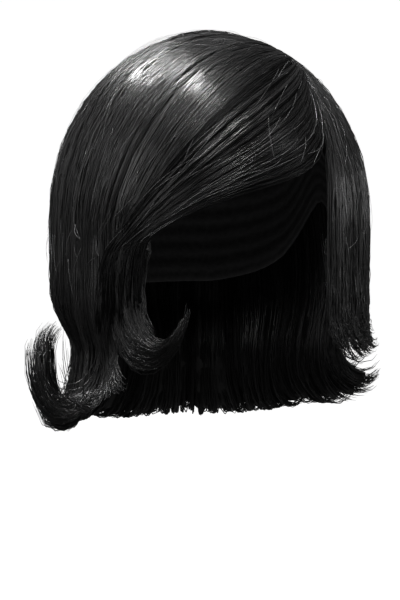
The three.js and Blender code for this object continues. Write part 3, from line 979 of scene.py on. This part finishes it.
def net_finish():
    """Fine net, with rows of wefts sewn across it."""
    finish = Finish("cap_net")
    net_sockets = {"Vector": finish.map_place(150.0, 90.0, 1.0), "Scale": 1.0}
    cells = finish.node("ShaderNodeTexVoronoi", "Distance", {}, net_sockets)
    weft_sockets = {"Vector": finish.map_place(0.0, 1.0, 1.0), "Scale": 9.0}
    wefts = finish.node("ShaderNodeTexWave", "Fac", {"bands_direction": "Y"}, weft_sockets)
    height = cells * 0.4 + wefts * 0.6
    return finish.end(
        {
            "Base Color": finish.mix(height, (0.03, 0.03, 0.03, 1), (0.1, 0.1, 0.102, 1)),
            "Roughness": 0.95 - wefts * 0.2,
            "Normal": finish.bump(height, 0.7, 0.0008),
        }
    )


def studio_finish():
    finish = Finish("studio_white")
    return finish.end(
        {
            "Base Color": (0.8, 0.8, 0.8, 1),
            "Roughness": 0.9,
            "Emission Color": (1, 1, 1, 1),
            "Emission Strength": 0.9,
        }
    )


# Studio

VIEW_AZIMUTH = -20.0
VIEW_ELEVATION = 3.0
VIEW_DISTANCE = 2.2
FRAME_HEIGHT = 0.3871  # of the picture, at the cap's upright axis
FRAME_OFFSET = (-0.0113, -0.0583)  # of the picture's middle from the cap's middle
SENSOR = 36.0
FLOOR = -0.42
BOWL_RADIUS = 6.0
BOWL_HEIGHT = 6.0
BOWL_CURVE = 2.5
BOWL_SIDES = 96
BOWL_STEPS = 16  # in its curve
LID_NORMAL = 0.9  # upward part of a normal by which the lid is known
AIR_STRENGTH = 0.12
WIDE_SPREAD = 100.0
NARROW_SPREAD = 60.0
# Each light's way from the cap as the camera sees it (right, near, top), its distance and size in metres,
# its power in watts and the spread of its beam in degrees.
LIGHTS = {
    "hair_light": ((-0.1, 0.22, 0.97), 1.6, 0.42, 7.2, NARROW_SPREAD),
    "crown_light": ((-0.45, -0.08, 0.9), 1.6, 0.4, 5.5, NARROW_SPREAD),
    "front_light": ((-0.7, 0.68, 0.25), 2.2, 1.8, 7.5, WIDE_SPREAD),
    "lens_light": ((0.05, 0.86, 0.5), 2.2, 0.8, 4.5, WIDE_SPREAD),
    "side_light": ((0.95, 0.25, 0.15), 2.2, 0.8, 7.0, WIDE_SPREAD),
}

azimuth = math.radians(VIEW_AZIMUTH)
elevation = math.radians(VIEW_ELEVATION)
TO_CAMERA = Vector(
    (math.sin(azimuth) * math.cos(elevation), -math.cos(azimuth) * math.cos(elevation), math.sin(elevation))
)
TO_RIGHT = Vector((math.cos(azimuth), math.sin(azimuth), 0.0))
TO_TOP = TO_CAMERA.cross(TO_RIGHT)
CAP_MIDDLE = Vector((0.0, 0.0, CAP_CENTRE[2] * MM))


def aim(thing, target):
    thing.rotation_euler = (target - thing.location).to_track_quat("-Z", "Y").to_euler()


def set_camera():
    lens = bpy.data.cameras.new("photo_camera")
    camera = bpy.data.objects.new("photo_camera", lens)
    bpy.context.scene.collection.objects.link(camera)
    lens.sensor_fit = "VERTICAL"
    lens.sensor_height = SENSOR
    lens.lens = SENSOR * VIEW_DISTANCE / FRAME_HEIGHT
    camera.location = CAP_MIDDLE + TO_CAMERA * VIEW_DISTANCE
    aim(camera, CAP_MIDDLE + TO_RIGHT * FRAME_OFFSET[0] + TO_TOP * FRAME_OFFSET[1])
    bpy.context.scene.camera = camera


def soft_light(name, way, distance, size, power, spread):
    lamp = bpy.data.lights.new(name, "AREA")
    lamp.shape = "ELLIPSE"
    lamp.size = size
    lamp.size_y = size
    lamp.energy = power
    lamp.spread = math.radians(spread)
    light = bpy.data.objects.new(name, lamp)
    bpy.context.scene.collection.objects.link(light)
    right, near, top = way
    towards = (TO_RIGHT * right + TO_CAMERA * near + TO_TOP * top).normalized()
    light.location = CAP_MIDDLE + towards * distance
    aim(light, CAP_MIDDLE)


def studio_bowl():
    """A round floor with a wall that rises in a wide curve; the camera sees it, but it lights nothing."""
    start_clean()
    middle = FLOOR + BOWL_HEIGHT / 2
    bpy.ops.mesh.primitive_cylinder_add(
        vertices=BOWL_SIDES, radius=BOWL_RADIUS, depth=BOWL_HEIGHT, location=(0, 0, middle)
    )
    bowl = bpy.context.object
    bowl.name = "studio_bowl"
    bpy.ops.object.transform_apply(location=True, rotation=True, scale=True)
    clear_selection("FACE")
    for face in bowl.data.polygons:
        face.select = face.normal.z > LID_NORMAL
    bpy.ops.object.mode_set(mode="EDIT")
    bpy.ops.mesh.delete(type="FACE")
    bpy.ops.mesh.select_mode(type="EDGE")
    bpy.ops.object.mode_set(mode="OBJECT")
    for edge in bowl.data.edges:
        edge.select = all(bowl.data.vertices[i].co.z < middle for i in edge.vertices)
    bpy.ops.object.mode_set(mode="EDIT")
    bpy.ops.mesh.bevel(offset=BOWL_CURVE, segments=BOWL_STEPS)
    bpy.ops.mesh.select_all(action="SELECT")
    bpy.ops.mesh.normals_make_consistent(inside=True)
    bpy.ops.object.mode_set(mode="OBJECT")
    bpy.ops.object.shade_smooth()
    bowl.visible_diffuse = False
    bowl.visible_glossy = False
    bowl.data.materials.append(studio_finish())


def set_studio():
    studio_bowl()
    for name, light in LIGHTS.items():
        soft_light(name, *light)
    world = bpy.data.worlds.new("studio_air")
    bpy.context.scene.world = world
    world.use_nodes = True
    air = world.node_tree.nodes["Background"]
    air.inputs["Color"].default_value = (1, 1, 1, 1)
    air.inputs["Strength"].default_value = AIR_STRENGTH
    bpy.context.scene.view_settings.view_transform = "Standard"


# The wig

set_camera()
set_studio()
HAIR = hair_finish("hair", shine=0.22)
# A copy of the hair with less shine, as painted shade on the fringe.
FRINGE_HAIR_WITH_PAINTED_SHADE = hair_finish("fringe_hair_painted_shade", shine=0.08)
UNDER = under_finish()
LOOSE = loose_finish()

dress(net_cap(), "wig_cap", net_finish())

for node, panel in PANELS.items():
    strands = comb(panel, panel["strands"], panel["strand_seed"], HANGING_STAGES, TIP_STAGE)
    lay_strands(node + "_strands", node, strands, STRAND_WIDTH, HAIR)
    ends = comb(
        panel, panel["ends"], panel["end_seed"], END_STAGES, TIP_STAGE, pulls=panel["gathers"], tucked=5.0
    )
    lay_strands(node + "_ends", node, ends, STRAND_WIDTH, HAIR)
    loose = flyaways(panel, count=75, first=0.1, last=1.7, drift=0.045)
    lay_strands(node + "_flyaways", node, loose, FLYAWAY_WIDTH, LOOSE)
    sheet = under_sheet(node + "_under", panel, SHEET_STAGES, columns=48)
    dress(sheet, node, UNDER)

ends = comb(
    FRONT_LOCK, FRONT_LOCK["ends"], FRONT_LOCK["end_seed"], END_STAGES, TIP_STAGE,
    pulls=(0.1, 0.4), tucked=3.0, short=(0.45, 0.7),
)
lay_strands("right_hair_front_ends", "right_hair", ends, STRAND_WIDTH, HAIR)

strands = comb(
    NAPE, NAPE["strands"], NAPE["strand_seed"], NAPE_STAGES, NAPE_STAGES[-1],
    deep=0.9, pulls=(0.5, 0.85), short=(0.22, 1.2),
)
lay_strands("nape_hair_strands", "nape_hair", strands, NAPE_WIDTH, HAIR)
sheet = under_sheet("nape_hair_under", NAPE, NAPE_SHEET_STAGES, columns=160)
dress(sheet, "nape_hair", UNDER)

strands = comb(
    FRINGE_PANEL, FRINGE_PANEL["strands"], FRINGE_PANEL["strand_seed"], FRINGE_STAGES, FRINGE_STAGES[-1],
    # Its low gloss makes the fringe duller and painted darker, as painted shade.
    short=(0.5, 1.0), gloss=0.15,
)
lay_strands("fringe_strands", "fringe", strands, STRAND_WIDTH, FRINGE_HAIR_WITH_PAINTED_SHADE)
loose = flyaways(FRINGE_PANEL, count=40, first=0.1, last=1.3, drift=0.1)
lay_strands("fringe_flyaways", "fringe", loose, FLYAWAY_WIDTH, LOOSE)
fringe_below = dict(FRINGE_PANEL, start=FRINGE_SHEET_START)
sheet = under_sheet("fringe_under", fringe_below, FRINGE_SHEET_STAGES, columns=30)
dress(sheet, "fringe", UNDER)
